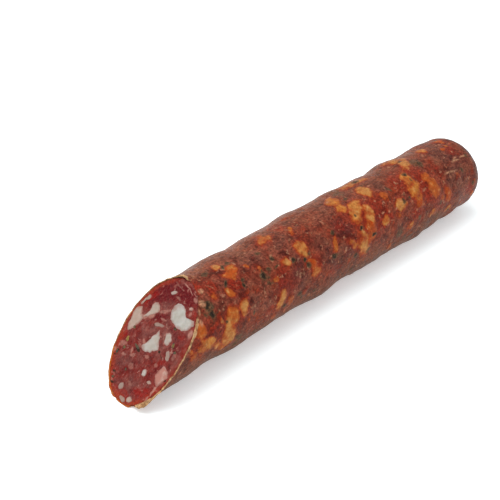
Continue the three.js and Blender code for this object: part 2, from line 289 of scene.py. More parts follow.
def grid_mesh(name, points, masks):
    """Closed mesh of a grid of points in metres: rows run along it and columns round it. The first and the
    last row each shrink to the mean of that row. masks are named values, one for each point. The faces are
    turned outward by the sign of the volume that they span with the middle of the points."""
    rows, columns = points.shape[:2]
    first, last = points[0].mean(axis=0), points[-1].mean(axis=0)
    body = points[1:-1].reshape(-1, 3)
    vertices = np.vstack((first, body, last))
    index = 1 + np.arange((rows - 2) * columns).reshape(rows - 2, columns)
    after = np.roll(index, -1, axis=1)
    quads = np.stack((index[:-1], after[:-1], after[1:], index[1:]), axis=-1).reshape(-1, 4)
    start = np.stack((np.zeros(columns, int), after[0], index[0]), axis=-1)
    finish = np.stack((np.full(columns, len(vertices) - 1), index[-1], after[-1]), axis=-1)
    a, b, c = (vertices[quads[:, k]] - vertices.mean(axis=0) for k in (0, 1, 2))
    if np.einsum("ij,ij->", a, np.cross(b, c)) < 0:
        quads, start, finish = quads[:, ::-1], start[:, ::-1], finish[:, ::-1]
    mesh = bpy.data.meshes.new(name)
    mesh.from_pydata(vertices.tolist(), [], quads.tolist() + start.tolist() + finish.tolist())
    for label, values in masks.items():
        whole = np.concatenate(([values[0].mean()], values[1:-1].ravel(), [values[-1].mean()]))
        mesh.attributes.new(label, "FLOAT", "POINT").data.foreach_set("value", whole.astype(np.float32))
    mesh.shade_smooth()
    piece = bpy.data.objects.new(name, mesh)
    bpy.context.collection.objects.link(piece)
    return piece


turn = np.linspace(0, 2 * np.pi, AROUND, endpoint=False)[None, :]

# Rim: the cut edge wavers. In places it is drawn out in a flap or nicked: turn, half width and reach.
FLAPS = ((2.42, 0.15, 1.2), (2.72, 0.07, -1.0), (6.09, 0.16, 0.9), (0.62, 0.2, -0.3))
ring = np.stack((0 * turn, RADIUS * np.sin(turn), RADIUS * np.cos(turn)), axis=-1)
fray = 0.18 + 0.22 * soft_noise(ring, 2.2, 31) + 0.16 * soft_noise(ring, 0.9, 32)
flap = sum(reach * np.exp(-(((turn - at) / half) ** 4)) for at, half, reach in FLAPS)
edge_x = np.maximum(FRAY_STOP, cut_x(turn, 0) - fray - flap * (0.8 + 0.3 * soft_noise(ring, 1.4, 33)))
# How cream the dry edge is, and how wide, at turns in degrees. It is smeared over with red from 4 to 46.
RIM = np.array((
    (4, 0.0, 0.5), (46, 0.0, 0.5), (53, 0.9, 1.5), (60, 1.0, 2.0), (73, 1.0, 1.7), (79, 0.6, 0.7),
    (112, 0.6, 0.6), (119, 0.9, 1.5), (146, 0.9, 1.7), (153, 0.0, 1.0), (245, 0.0, 0.8), (252, 0.5, 0.4),
    (322, 0.5, 0.4), (334, 0.9, 0.8), (354, 1.0, 1.3),
))
cream, cream_wide = (np.interp(np.degrees(turn), RIM[:, 0], RIM[:, k], period=360) for k in (1, 2))
oily = ease(146, 160, np.degrees(turn)) * ease(256, 242, np.degrees(turn))

# Side: rows spread from the cut edge to where the end begins to round.
share = np.linspace(0, 1, BODY_ROWS)[:, None] ** 1.05
side_x = edge_x + share * (END - CORNER - edge_x)
side_s = RADIUS * np.angle(np.exp(1j * turn)) + 0 * side_x
side_spots = np.stack(np.broadcast_arrays(side_x, RADIUS * np.sin(turn), RADIUS * np.cos(turn)), axis=-1)
wander_x = 1.1 * soft_noise(side_spots, 4.2, 41) + 0.35 * soft_noise(side_spots, 1.7, 42)
wander_s = 1.1 * soft_noise(side_spots, 4.2, 43) + 0.35 * soft_noise(side_spots, 1.7, 44)


def on_side(spots, wander, power, core, reach):
    """Mask and tone of those patches on the side, with outlines that wander by that share."""
    return blot(spots, side_x + wander * wander_x, side_s + wander * wander_s, power, core, reach)


fat, warmth = on_side(FAT_UNDER, 1, 2.3, 0.5, 1.75)
halo, _ = on_side(FAT_UNDER, 2, 2, 0.9, 2.4)
stain, _ = on_side(STAINS, 2.5, 2, 0.5, 1.4)
herb, _ = on_side(HERBS, 0.8, 2, 0.5, 2.2)
pale, _ = on_side(PALE, 0.6, 2, 0.5, 1.4)
dusk, _ = on_side(DUSK, 3, 2, 0.5, 1.4)
dull, _ = on_side(MATTE, 3, 2, 0.6, 1.5)
from_edge = side_x - edge_x
rim = cream * (1 - ease(0.5 * cream_wide, cream_wide, from_edge + 0.3 * wander_x))
on_edge = 1 - ease(0.6, 2.2, from_edge + 0.6 * wander_x)
fat = np.maximum(fat, 0.85 * oily * on_edge)
warmth = np.where(oily * on_edge > 0.3, 0.72, warmth)
rolled = 0.3 * rim * (1 + soft_noise(side_spots, 1.1, 47))
relief = 0.34 * fat + rolled + 0.12 * herb + 0.10 * pale - 0.05 * dusk
relief = relief + 0.12 * soft_noise(side_spots, 3.0, 45) + 0.05 * soft_noise(side_spots, 1.8, 46)
lift = np.maximum(flap, 0) * (1 - ease(0, 5, from_edge)) * 0.9
side = side_point(side_x, turn, side_radius(side_x, turn) + relief + lift)

# Closed end: a quarter round, then the end itself, drawn in to the gather, and the folded tail.
bend = np.linspace(0, np.pi / 2, CORNER_ROWS + 1)[1:]
inward = np.linspace(CORNER, GATHER, END_ROWS + 1)[1:]
tail = np.linspace(0, 1, TAIL_ROWS + 1)[1:]
tail_r = GATHER + np.sin(np.pi * tail * 0.9) - GATHER * tail**6
end_r = np.concatenate((RADIUS - CORNER + CORNER * np.cos(bend), inward, tail_r))[:, None]
end_x = np.concatenate((END - CORNER + CORNER * np.sin(bend), END - DISH * ease(CORNER, 3.2, inward),
                        END - DISH + (TAIL + DISH) * tail))[:, None]
end_spots = np.stack(np.broadcast_arrays(end_x, end_r * np.sin(turn), end_r * np.cos(turn)), axis=-1)
gathered = ease(19.8, 9, end_r)
wave = PLEATS / 2 * turn + 0.9 * soft_noise(end_spots, 7, 51) + 0.12 * (end_x - END)
pleat = np.abs(np.sin(wave))
fold = gathered * (pleat - 0.55)
fullness = side_radius(np.full_like(turn, END - CORNER), turn) / RADIUS
end_radius = end_r * (1 + (fullness - 1) * ease(0, 12, end_r)) + 0.5 * fold * ease(2, 6, end_r)
end_radius = end_radius + np.where(end_x > END, 0.28, 0) * fold + 0.12 * soft_noise(end_spots, 2.2, 52)
out_x = end_x + 0.9 * fold * ease(20, 8, end_r) * ease(2.2, 4.5, end_r) + 0.15 * soft_noise(end_spots, 3, 53)
level = end_radius * np.cos(turn)
past = np.clip(end_x - END, 0, None) / TAIL_BEND
end_place_x = np.where(end_x > END, END + (TAIL_BEND + level) * np.sin(past), out_x)
level = np.where(end_x > END, (TAIL_BEND + level) * np.cos(past) - TAIL_BEND, level)
level = level - TAIL_LOW * (1 - np.clip(end_r / CORNER, 0, 1))
end_cap = (end_place_x, middle_line(END) - end_radius * np.sin(turn), settled(MIDDLE_Z + level))

# Edge and inner wall: over the cut edge, then back inside to the closed end in long steps. Past the edge
# it is set in deeper, so that the straight runs between steps stay under the hollows of the side.
lip_in = WALL * np.array([0.35, 0.8, 1.0])[:, None]
lip_x = np.array([-0.12, -0.06, 0.1])[:, None] + edge_x
inner_x = np.concatenate((np.array([1.0, 3.0])[:, None] + edge_x,
                          edge_x + np.linspace(0.08, 1, 8)[:, None] * (END - CORNER - edge_x)))
lip = side_point(lip_x, turn, side_radius(edge_x, turn) + relief[:1] + lift[:1] - lip_in)
inner_sunk = WALL + DEEPER * ease(2, 20, inner_x - edge_x)
inner = side_point(inner_x, turn, side_radius(inner_x, turn) - inner_sunk)
inner_end = side_point(np.array([END - 3, END - WALL - 2, END - WALL - 2])[:, None] + 0 * turn, turn,
                       np.array([16.0, 8.0, 0.0])[:, None] + 0 * turn)

inside_rows = [to_frame(*part)[::-1] for part in (inner_end, inner, lip)]
casing_points = np.concatenate([*inside_rows, to_frame(*side), to_frame(*end_cap)])
before = len(casing_points) - len(side_x) - len(end_r)


def padded_rows(side_values, end_values):
    """Values for the whole casing from those of its side and of its closed end. The wall's cut edge and
    its inside take those of the side's first row."""
    inside = np.repeat(side_values[:1], before, axis=0)
    return np.concatenate((inside, side_values, end_values + 0 * end_spots[..., 0]))


# Fat under the closed end: across, up, length, width, tilt, strength, tone.
END_FAT = (
    (6, 8, 7, 6, 20, 0.9, 0.5), (-8, 3, 6, 8, 0, 0.8, 0.7), (3, -9, 8, 5, 0, 0.7, 0.6),
    (-11, -9, 6, 6, 0, 0.8, 0.45), (13, -3, 5, 6, 0, 0.7, 0.85),
)
tail_dry = ease(END + 0.5, END + 3, end_x) + 0 * turn
end_across = end_spots[..., 1] + 1.5 * soft_noise(end_spots, 3, 54)
end_up = end_spots[..., 2] + 1.5 * soft_noise(end_spots, 3, 55)
end_fat, end_warmth = blot(END_FAT, end_across, end_up, 2.4)
casing = grid_mesh("cured_casing", casing_points, {
    "fat": padded_rows(fat, end_fat * (1 - tail_dry) * ease(END - 9, END - 7, end_x)),
    "warmth": padded_rows(warmth, end_warmth),
    "stain": padded_rows(np.maximum(stain, 0.45 * halo), 0.4 * gathered * (1 - tail_dry)),
    "herb": padded_rows(herb, 0),
    "pale": padded_rows(pale, 0),
    "dusk": padded_rows(dusk, 0.3),
    "matte": padded_rows(dull, 0.8),
    "dry": padded_rows(rim, tail_dry),
    # Painted shade: dark in the troughs of the pleats at the gathered end.
    "pleat_shade": padded_rows(0 * fat, gathered * ease(0.45, 0.05, pleat)),
})


def srgb(red, green, blue):
    """Linear colour from the 0 to 255 values that a screen shows."""
    share = np.array([red, green, blue]) / 255
    return (*np.where(share > 0.04045, ((share + 0.055) / 1.055) ** 2.4, share / 12.92), 1.0)


def add(tree, kind, settings=None, **sockets):
    """Adds a node. settings are its own properties. Each socket is named with _ for a space, or is in1,
    in2, ... by its place, and takes a value or another node's output."""
    node = tree.nodes.new(kind)
    for name, value in (settings or {}).items():
        setattr(node, name, value)
    for name, value in sockets.items():
        numbered = name.startswith("in") and name[2:].isdigit()
        socket = node.inputs[int(name[2:])] if numbered else node.inputs[name.replace("_", " ")]
        if isinstance(value, bpy.types.NodeSocket):
            tree.links.new(value, socket)
        else:
            socket.default_value = value
    return node


def mask_of(tree, name):
    """Output of the mesh's own mask of that name."""
    return add(tree, "ShaderNodeAttribute", {"attribute_name": name}).outputs["Fac"]


def between(tree, value, low, high, to_low=0.0, to_high=1.0):
    """value from low to high, brought to to_low to to_high and held there."""
    node = add(tree, "ShaderNodeMapRange", None, Value=value, From_Min=low, From_Max=high,
               To_Min=to_low, To_Max=to_high)
    return node.outputs["Result"]


def sums(tree, operation, first, second):
    """first and second put together by that Math operation."""
    return add(tree, "ShaderNodeMath", {"operation": operation}, in0=first, in1=second).outputs[0]


def times(tree, first, second):
    """first and second multiplied."""
    return sums(tree, "MULTIPLY", first, second)


def lay(tree, amount, under, over):
    """Colour over laid on colour under by that amount."""
    return add(tree, "ShaderNodeMix", {"data_type": "RGBA"}, in0=amount, in6=under, in7=over).outputs[2]


def layers(tree, colour, steps):
    """colour with others laid on it in turn. A step is a value, the start and end of its range, how much is
    laid on past the end, and the colour to lay on."""
    for value, low, high, most, over in steps:
        colour = lay(tree, between(tree, value, low, high, 0.0, most), colour, over)
    return colour


def noise(tree, size, detail=2.0, roughness=0.5):
    """Noise on Object coordinates, with lumps about that many millimetres across."""
    where = add(tree, "ShaderNodeTexCoord").outputs["Object"]
    node = add(tree, "ShaderNodeTexNoise", None, Vector=where, Scale=0.5 / (size * MM), Detail=detail,
               Roughness=roughness)
    return node.outputs["Fac"]


def make_group(name, takes, gives):
    """An empty node group with those named inputs and outputs: (name, kind, value) and (name, kind)."""
    group = bpy.data.node_groups.new(name, "ShaderNodeTree")
    for label, kind, value in takes:
        socket = group.interface.new_socket(label, in_out="INPUT", socket_type=kind)
        socket.default_value = value
    for label, kind in gives:
        group.interface.new_socket(label, in_out="OUTPUT", socket_type=kind)
    return group, group.nodes.new("NodeGroupInput").outputs, group.nodes.new("NodeGroupOutput").inputs


# Grain: the fine light and dark speckle of minced, dried meat. It scales a colour up and down.
grain, takes, gives = make_group(
    "minced_grain",
    (("Colour", "NodeSocketColor", (1, 1, 1, 1)), ("Size", "NodeSocketFloat", 1.0),
     ("Amount", "NodeSocketFloat", 0.5)),
    (("Colour", "NodeSocketColor"), ("Height", "NodeSocketFloat")),
)
at = add(grain, "ShaderNodeTexCoord").outputs["Object"]
per_size = sums(grain, "DIVIDE", 0.5 / MM, takes["Size"])
speckle = add(grain, "ShaderNodeTexNoise", None, Vector=at, Scale=per_size, Detail=3.0, Roughness=0.6)
fine = speckle.outputs["Fac"]
swing = between(grain, fine, 0.32, 0.68, -1.0, 1.0)
factor = sums(grain, "ADD", 1.0, times(grain, swing, takes["Amount"]))
scaled = add(grain, "ShaderNodeVectorMath", {"operation": "SCALE"}, in0=takes["Colour"], Scale=factor)
grain.links.new(scaled.outputs[0], gives["Colour"])
grain.links.new(fine, gives["Height"])


def grained(tree, colour, size, amount):
    """The grain group on a colour: its coloured output and its height."""
    node = add(tree, "ShaderNodeGroup", {"node_tree": grain}, Colour=colour, Size=size, Amount=amount)
    return node.outputs["Colour"], node.outputs["Height"]


# Flecks: small irregular bits of one kind, where distorted noise rises over a threshold. Place shifts the
# pattern, so that two kinds do not fall together.
flecks, takes, gives = make_group(
    "scattered_flecks",
    (("Size", "NodeSocketFloat", 1.5), ("Threshold", "NodeSocketFloat", 0.6),
     ("Place", "NodeSocketFloat", 0.0)),
    (("Mask", "NodeSocketFloat"), ("Tone", "NodeSocketFloat")),
)
at = add(flecks, "ShaderNodeTexCoord").outputs["Object"]
moved = add(flecks, "ShaderNodeVectorMath", {"operation": "ADD"}, in0=at, in1=takes["Place"]).outputs[0]
per_size = sums(flecks, "DIVIDE", 0.5 / MM, takes["Size"])
lumps = add(flecks, "ShaderNodeTexNoise", None, Vector=moved, Scale=per_size, Detail=2.0, Distortion=0.3)
above = sums(flecks, "SUBTRACT", lumps.outputs["Fac"], takes["Threshold"])
pick = add(flecks, "ShaderNodeSeparateColor", None, Color=lumps.outputs["Color"]).outputs["Green"]
flecks.links.new(between(flecks, above, 0.0, 0.06), gives["Mask"])
flecks.links.new(between(flecks, pick, 0.38, 0.62), gives["Tone"])


def flecked(tree, size, threshold, place):
    """The flecks group: its mask and the tone of each bit."""
    node = add(tree, "ShaderNodeGroup", {"node_tree": flecks}, Size=size, Threshold=threshold, Place=place)
    return node.outputs["Mask"], node.outputs["Tone"]


# Strands: fine wrinkles or fibres that run along x. Height is 1 on their crests.
strands, takes, gives = make_group(
    "fine_strands",
    (("Size", "NodeSocketFloat", 0.5), ("Stretch", "NodeSocketFloat", 0.2)),
    (("Height", "NodeSocketFloat"),),
)
at = add(strands, "ShaderNodeTexCoord").outputs["Object"]
axes = add(strands, "ShaderNodeCombineXYZ", None, X=takes["Stretch"], Y=1.0, Z=1.0).outputs[0]
drawn = add(strands, "ShaderNodeVectorMath", {"operation": "MULTIPLY"}, in0=at, in1=axes).outputs[0]
per_size = sums(strands, "DIVIDE", 0.5 / MM, takes["Size"])
waves = add(strands, "ShaderNodeTexNoise", None, Vector=drawn, Scale=per_size, Detail=2.0, Distortion=0.6)
crest = sums(strands, "ABSOLUTE", between(strands, waves.outputs["Fac"], 0.3, 0.7, -1.0, 1.0), 0.0)
strands.links.new(sums(strands, "SUBTRACT", 1.0, crest), gives["Height"])


def stranded(tree, size, stretch):
    """The strands group's height."""
    return add(tree, "ShaderNodeGroup", {"node_tree": strands}, Size=size, Stretch=stretch).outputs["Height"]


def new_material(name):
    """A material with nodes: its tree and its Principled BSDF."""
    made = bpy.data.materials.new(name)
    made.use_nodes = True
    return made, made.node_tree, made.node_tree.nodes["Principled BSDF"]


def finish_material(tree, shader, colour, roughness, height, depth):
    """Joins colour, roughness and a Bump of height, as deep as depth millimetres, to the shader."""
    bump = add(tree, "ShaderNodeBump", None, Strength=1.0, Distance=depth * MM, Height=height)
    tree.links.new(colour, shader.inputs["Base Color"])
    tree.links.new(roughness, shader.inputs["Roughness"])
    tree.links.new(bump.outputs["Normal"], shader.inputs["Normal"])


gut, tree, shader = new_material("dried_gut")
blotch = noise(tree, 3.2, 3, 0.6)
crisp = noise(tree, 1.2, 3, 0.65)
cloudy = between(tree, noise(tree, 8, 3, 0.55), 0.43, 0.57, 0, 0.6)
matte = sums(tree, "MAXIMUM", cloudy, mask_of(tree, "matte"))
colour = lay(tree, matte, srgb(120, 48, 31), srgb(114, 64, 50))
oil = times(tree, mask_of(tree, "stain"), between(tree, blotch, 0.3, 0.6, 0.5, 0.95))
dusky = mask_of(tree, "dusk")
colour = layers(tree, colour, (
    (blotch, 0.5, 0.66, 0.5, srgb(132, 80, 58)),
    (blotch, 0.5, 0.36, 0.8, srgb(70, 20, 14)),
    (dusky, 0, 1, 0.75, srgb(82, 32, 30)),
    (oil, 0, 1, 1, srgb(132, 28, 8)),
))
# Fat glows through the gut: red at its edge, then orange, then gold where it lies thick and close.
own = mask_of(tree, "fat")
patchy = between(tree, noise(tree, 2.4, 2, 0.5), 0.3, 0.7, -0.5, 0.5)
patchy = times(tree, patchy, between(tree, own, 0.0, 0.3))
stray, _ = flecked(tree, 3.6, 0.54, 0.7)
stray = times(tree, stray, between(tree, matte, 0.0, 0.8, 0.3, 0.0))
stray = times(tree, stray, between(tree, dusky, 0.0, 0.6, 1.0, 0.0))
thick = sums(tree, "MAXIMUM", sums(tree, "ADD", own, patchy), stray)
warm = mask_of(tree, "warmth")
gold = lay(tree, between(tree, warm, 0.15, 0.6), srgb(174, 124, 76), srgb(177, 110, 46))
gold = layers(tree, gold, (
    (warm, 0.55, 1.0, 1, srgb(158, 50, 8)),
    (crisp, 0.5, 0.7, 0.6, srgb(188, 134, 72)),
    (crisp, 0.5, 0.34, 0.55, srgb(152, 78, 26)),
))
colour = layers(tree, colour, (
    (thick, 0.05, 0.4, 0.75, srgb(130, 40, 18)),
    (thick, 0.25, 0.6, 0.9, srgb(154, 70, 28)),
    (thick, 0.5, 1.05, 0.97, gold),
))
bare = between(tree, thick, 0.1, 0.6, 0.55, 0.0)
bits, tone = flecked(tree, 1.2, 0.61, 0.0)
crumbs = lay(tree, tone, srgb(142, 58, 34), srgb(158, 112, 88))
# Small dark specks where the gut is bare of fat.
dark_specks, _ = flecked(tree, 0.9, 0.6, 0.3)
torn = between(tree, crisp, 0.3, 0.7, -0.4, 0.4)
torn = times(tree, torn, between(tree, mask_of(tree, "herb"), 0.0, 0.15))
leafy = sums(tree, "ADD", mask_of(tree, "herb"), torn)
colour = layers(tree, colour, (
    (times(tree, bits, bare), 0, 1, 1, crumbs),
    (times(tree, dark_specks, bare), 0, 1, 1, srgb(60, 18, 14)),
    (mask_of(tree, "pale"), 0, 1, 0.85, srgb(172, 124, 94)),
    (leafy, 0.08, 0.4, 0.8, srgb(78, 62, 42)),
    (leafy, 0.5, 0.8, 0.9, srgb(30, 26, 20)),
))
# Painted sheen and shade: where the side turns away from the camera (Layer Weight's Facing), the colour is
# laid toward dark brown below, a painted shade, and mauve above, a painted sheen, less over thick fat and at
# the end.
edge_on = add(tree, "ShaderNodeLayerWeight", None, Blend=0.5).outputs["Facing"]
at = add(tree, "ShaderNodeTexCoord").outputs["Object"]
along = add(tree, "ShaderNodeSeparateXYZ", None, Vector=at).outputs
sheen_and_shade = lay(tree, between(tree, along["Z"], 6 * MM, 30 * MM), srgb(82, 50, 24), srgb(124, 80, 58))
sheen_and_shade_amount = between(tree, thick, 0.3, 0.9, 1.0, 0.35)
sheen_and_shade_amount = times(tree, sheen_and_shade_amount, between(tree, along["X"], 75 * MM, 108 * MM, 1.0, 0.25))
sheen_and_shade_amount = times(tree, sheen_and_shade_amount, between(tree, edge_on, 0.3, 0.85, 0, 0.75))
dried = sums(tree, "ADD", mask_of(tree, "dry"), between(tree, crisp, 0.3, 0.7, -0.3, 0.3))
parchment = lay(tree, between(tree, crisp, 0.35, 0.65), srgb(150, 108, 70), srgb(188, 150, 110))
# Laid on in turn: the painted sheen and shade, painted shade in the troughs of the pleats, and the dry
# parchment of the rim and tail.
colour = layers(tree, colour, (
    (sheen_and_shade_amount, 0, 1, 1, sheen_and_shade),
    (mask_of(tree, "pleat_shade"), 0, 1, 1, srgb(48, 20, 12)),
    (dried, 0.2, 0.6, 1, parchment),
))
colour, speck = grained(tree, colour, 0.5, between(tree, thick, 0.2, 0.8, 0.46, 0.16))
colour, _ = grained(tree, colour, 1.1, between(tree, thick, 0.2, 0.8, 0.2, 0.14))
wrinkle = times(tree, stranded(tree, 0.7, 0.25), between(tree, noise(tree, 7, 2), 0.45, 0.6))
height = sums(tree, "ADD", times(tree, speck, 0.4), noise(tree, 1.8, 4, 0.6))
height = sums(tree, "ADD", height, times(tree, wrinkle, 0.35))
finish_material(tree, shader, colour, between(tree, blotch, 0.3, 0.7, 0.34, 0.5), height, 0.6)
shader.inputs["Specular IOR Level"].default_value = 0.06

casing.data.materials.append(gut)
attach(casing, "root")
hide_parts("casing")

# -------------------------------------------------------------------------------------------------
# Lean filling
# Chopped lean pork, pressed tight by drying. Only its cut face shows, in streaks and crumbs of crimson
# and mauve brown, rusty next to the casing, with a pocket for each die of fat that the knife met.
# -------------------------------------------------------------------------------------------------
FACE_Y = -0.9  # middle of the cut face
FACE_Z = 19.3
UPHILL = math.hypot(1, CUT_SLOPE)  # millimetres up the slope of the face for each millimetre of height
FACE_OUT = np.array([-1, CUT_SKEW, CUT_SLOPE]) / math.sqrt(1 + CUT_SKEW**2 + CUT_SLOPE**2)


def on_face(across, upward):
    """x, y, z of points on the knife's plane, from millimetres across it and up its slope."""
    y = FACE_Y - across
    z = FACE_Z + upward / UPHILL
    return np.stack((CUT_X + CUT_SLOPE * (z - MIDDLE_Z) + CUT_SKEW * y, y, z), axis=-1)


def rounded_loop(corners, count):
    """count points on a smooth closed curve through the corners, evenly spread between them: a
    Catmull-Rom cubic from each corner to the next."""
    knots = np.array(corners, float)
    where = np.arange(count) * len(knots) / count
    first = where.astype(int)
    t = (where - first)[:, None]
    a, b, c, d = (knots[(first + k) % len(knots)] for k in (-1, 0, 1, 2))
    return 0.5 * (2 * b + (c - a) * t + (2 * a - 5 * b + 4 * c - d) * t**2 + (3 * (b - c) + d - a) * t**3)


# Dice of fat at the cut: outline across and up the slope, depth, pinkness and dullness from 0 to 1.
DICE = {
    "fat_large_upper": ([(0, 15.6), (1, 18.4), (3.5, 19.8), (6, 19.5), (8, 18), (9.2, 16.7), (11, 16.8),
                         (13.5, 17.1), (15.5, 17.2), (15.6, 15), (15, 12.9), (13, 11.1), (10, 10.3),
                         (6.5, 10.3), (3, 11.5), (0.9, 13.2)], 5, 0.0, 0.0),
    "fat_left_long": ([(-18.6, 5.4), (-17.5, 7.5), (-14.8, 8.3), (-13.7, 6), (-12, 5.4), (-11.2, 4),
                       (-12, 1.5), (-13, -1), (-14.4, -3), (-16, -3.7), (-17.2, -2), (-17.5, 1),
                       (-18.4, 3.4)], 4, 0.4, 0.0),
    "fat_left_band": ([(-12, 5), (-10.6, 8.4), (-10.4, 12.6), (-8.5, 14), (-6, 13), (-5.3, 11.2), (-7.4, 8.6),
                       (-9.6, 6.4)], 4, 0.3, 0.0),
    "fat_middle": ([(0.8, 5.3), (2.2, 4.2), (4.2, 1.4), (6, -1.3), (5.3, -2.7), (3.2, -4.2), (1, -5.5),
                    (-1, -6), (-3.8, -5.1), (-2.6, -3), (-1.8, -1), (-1, 1.5), (0, 4)], 5, 0.1, 0.0),
    "fat_middle_right": ([(4.9, 6.2), (6.4, 7), (8, 6.8), (9.7, 5), (9.3, 2.5), (7.5, 1.8),
                          (6, 3.5)], 3, 0.2, 0.0),
    "fat_flake": ([(-4.2, 6.3), (-2.8, 7.2), (-0.6, 7.4), (1.8, 8.1), (1.4, 6.9), (-0.6, 6),
                   (-3, 5.5)], 2, 0.5, 0.8),
    "fat_right_small": ([(10.2, 0.4), (11.6, 1), (13.4, -0.4), (13.9, -2), (12.6, -2.7),
                         (11.2, -1.6)], 2, 0.4, 0.6),
    "fat_lower_dot": ([(4.4, -12.4), (5.6, -10.9), (7.1, -11.8), (6.9, -13.6), (5.3, -14.2)], 3, 0.1, 0.0),
    "fat_pink_right": ([(12.5, -7), (13.1, -5), (15, -4.8), (17.2, -5.8), (18.2, -7.4), (17.6, -10),
                        (16.2, -13.2), (14.2, -13), (12, -10.6)], 4, 0.9, 0.0),
    "fat_lilac_dot": ([(9.6, -14.4), (11, -13.4), (12.3, -13.9), (11, -15)], 2, 0.4, 0.4),
    "fat_low_left": ([(-2.9, -22.4), (-1.4, -21.5), (-0.1, -22.8), (-1.3, -24.5), (-2.8, -24)], 3, 0.3, 0.7),
    "fat_low_right": ([(4.9, -25), (6.4, -23.8), (8.2, -24.4), (7.4, -26), (5.6, -26.2)], 3, 0.4, 0.1),
    "fat_tip": ([(0.4, -26.6), (2, -26), (4.4, -26.2), (4.6, -27.4), (2.6, -27.9)], 2, 0.5, 0.5),
    "fat_top_flake": ([(-5, 20.6), (-3.8, 22), (-1.8, 22.5), (-2.2, 21.2), (-3.8, 20.2)], 2, 0.2, 0.4),
    "fat_rim_left": ([(-17.4, 9.2), (-16.2, 12.4), (-15, 14.6), (-13.6, 14.2), (-14.2, 12.4),
                      (-15.6, 11), (-16.4, 9)], 2, 0.4, 0.4),
    "fat_top_right": ([(8.6, 20.4), (9.6, 21.2), (11.2, 20.8), (10.8, 19.8), (9.4, 19.6)], 2, 0.8, 0.3),
}
DIE_COLUMNS = 96


def die_outline(corners):
    """A die's outline, with a ragged edge: soft noise of a third of a millimetre along it."""
    loop = rounded_loop(corners, DIE_COLUMNS)
    flat = np.concatenate((loop, np.zeros((DIE_COLUMNS, 1))), axis=1)
    ragged = np.stack((soft_noise(flat, 1.3, 61), soft_noise(flat, 1.3, 62)), axis=-1)
    return loop + 0.32 * ragged


def inside_share(corners, across, upward):
    """Distance of points from a die's middle, as a share of its outline's distance on the same bearing."""
    loop = die_outline(corners)
    centre = loop.mean(axis=0)
    bearing = np.arctan2(loop[:, 1] - centre[1], loop[:, 0] - centre[0])
    reach = np.hypot(*(loop - centre).T)
    order = np.argsort(bearing)
    toward = np.arctan2(upward - centre[1], across - centre[0])
    return np.hypot(across - centre[0], upward - centre[1]) / np.interp(
        toward, bearing[order], reach[order], period=2 * np.pi)


FACE_ROWS = 120
FACE_COLUMNS = 300
face_turn = np.linspace(0, 2 * np.pi, FACE_COLUMNS, endpoint=False)[None, :]
brink_x = cut_x(face_turn, WALL)
brink = np.stack(side_point(brink_x, face_turn, side_radius(brink_x, face_turn) - WALL + 0.05), axis=-1)
centre = on_face(0.0, 0.0)
out = np.linspace(0, 1, FACE_ROWS)[:, None] ** 0.8
face = centre + out[..., None] * (brink - centre)
face_w = FACE_Y - face[..., 1]
face_v = (face[..., 2] - FACE_Z) * UPHILL
flat = np.stack((face_w, face_v, 0 * face_w), axis=-1)
shift_w = 0.9 * soft_noise(flat, 3, 71) + 0.5 * soft_noise(flat, 1.2, 72)
shift_v = 0.9 * soft_noise(flat, 3, 73) + 0.5 * soft_noise(flat, 1.2, 74)
# On the face: across, up the slope, length, width, tilt, strength. Deep red lean, threads of sinew, dark
# herbs, one dark mark just under the middle die of fat, and bright, oily lean.
CRIMSON = [
    (-1, 22, 24, 9, 5, 1), (-9, 17, 12, 8, 30, 1), (4, 24.5, 16, 5, -8, 1), (-3, 9.5, 12, 2.6, 28, 0.8),
    (-12, 12, 4, 6, 0, 0.8), (14, 5, 6, 14, 0, 0.5), (10.5, -9, 4, 7, 0, 0.5), (8, 8.6, 12, 2, -10, 0.7),
    (-10, 22, 8, 4, 45, 0.9),
]
SINEW = [
    (-2.6, 12.6, 9, 1.2, 30, 0.6), (-0.5, 9.7, 4, 0.9, 10, 0.6), (8.2, 27.4, 3, 0.8, 30, 0.8),
    (7.2, 28.4, 2.4, 0.7, 60, 0.7), (9.6, 24.3, 3, 1.6, -15, 0.7), (13.9, 21.6, 1, 1.8, 0, 0.7),
    (0.5, 20.8, 4, 0.9, 0, 0.5), (-3, 25.2, 6, 0.7, -10, 0.4), (-7, -9, 1.6, 3, 30, 0.6),
    (-5.5, -10.4, 3, 1.1, 25, 0.6), (2.5, -7, 3, 1.2, 20, 0.5), (9, -7, 2.4, 2, 0, 0.5),
    (-2.5, -14, 3.5, 2.4, 0, 0.4), (-13.5, -9, 5, 2, 10, 0.6), (-10, -12.4, 3.6, 0.9, 35, 0.6),
    (16.8, 12.4, 2.8, 3.4, 10, 0.9), (-14.5, -10.4, 3, 1.2, 0, 0.5), (15.4, -16, 1, 4, -20, 0.6),
    (-3, -2.8, 4, 1.6, -30, 0.6), (15.5, 0.4, 2.4, 4, 0, 0.35), (-9, -21, 3, 1, -30, 0.4),
    (-4, -5, 3, 1, 20, 0.4), (-6, 2.4, 2, 4, 0, 0.15), (2, -20, 3, 1.2, 0, 0.3),
    (1.4, 26.9, 5.5, 0.5, -14, 0.9), (5, 25.6, 5, 0.45, -16, 0.8), (8, 25.9, 3, 0.4, -12, 0.7),
    (0.5, 24.4, 1.6, 0.7, 0, 0.6), (-11.8, 5.2, 4, 2.4, 20, 0.7), (-16.8, -13.4, 2.4, 2.6, 0, 0.7),
    (-8.6, 7.4, 6, 2.6, 25, 0.8), (15.4, -15.5, 1.2, 5, -8, 0.9), (14.6, -20, 1, 3.6, 0, 0.8),
    (13, 1.6, 1, 3.4, 10, 0.6), (11, 18.4, 1.2, 2, 0, 0.6), (5.4, 3.4, 0.8, 4, 30, 0.3),
]
